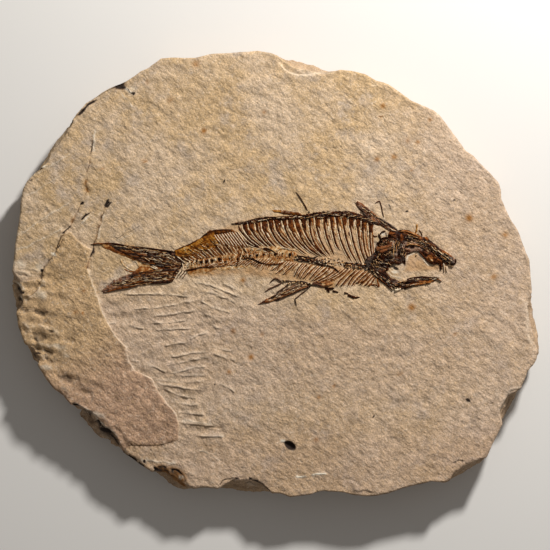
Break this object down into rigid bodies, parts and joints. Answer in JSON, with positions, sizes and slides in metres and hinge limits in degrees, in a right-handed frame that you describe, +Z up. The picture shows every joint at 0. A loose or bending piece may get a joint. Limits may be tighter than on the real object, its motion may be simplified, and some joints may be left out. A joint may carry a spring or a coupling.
{
  "type": "fossil fish slab",
  "caption": "Flat, roughly oval plate of pale limestone with a small bony fish, belly up, lying on its split face, for display flat on a shelf or in a tray.",
  "frame": {"origin": "on the resting plane, under the middle of the slab's bounding box", "axes": "+X along the fish from its tail to its snout, +Y across the slab towards the fish's belly, +Z up out of the split face"},
  "size_m": [0.15, 0.1262, 0.0121],
  "materials": {
    "limestone": "matt, fine-grained split limestone, cream to ochre with rust spots",
    "dark_bone": "satin brown-black fossil bone with rust edges",
    "rust_bone": "satin rust-brown fossil bone",
    "amber_bone": "satin amber-brown fossil fin"
  },
  "bodies": {
    "root": {"stone_slab": "limestone", "backbone": "rust_bone", "belly_ribs": "dark_bone", "dorsal_fin": "dark_bone", "tail_fin": "dark_bone", "anal_fin": "amber_bone", "pectoral_fin": "dark_bone", "pelvic_fin": "amber_bone", "gill_cover_and_jaws": "dark_bone", "skull_roof": "dark_bone", "belly_ray": "dark_bone", "pectoral_ray": "dark_bone", "throat_spine": "amber_bone", "shoulder_bone": "dark_bone", "bone_scrap_1": "dark_bone", "bone_scrap_2": "dark_bone", "bone_scrap_3": "dark_bone", "bone_scrap_4": "dark_bone"}
  },
  "joints": []
}
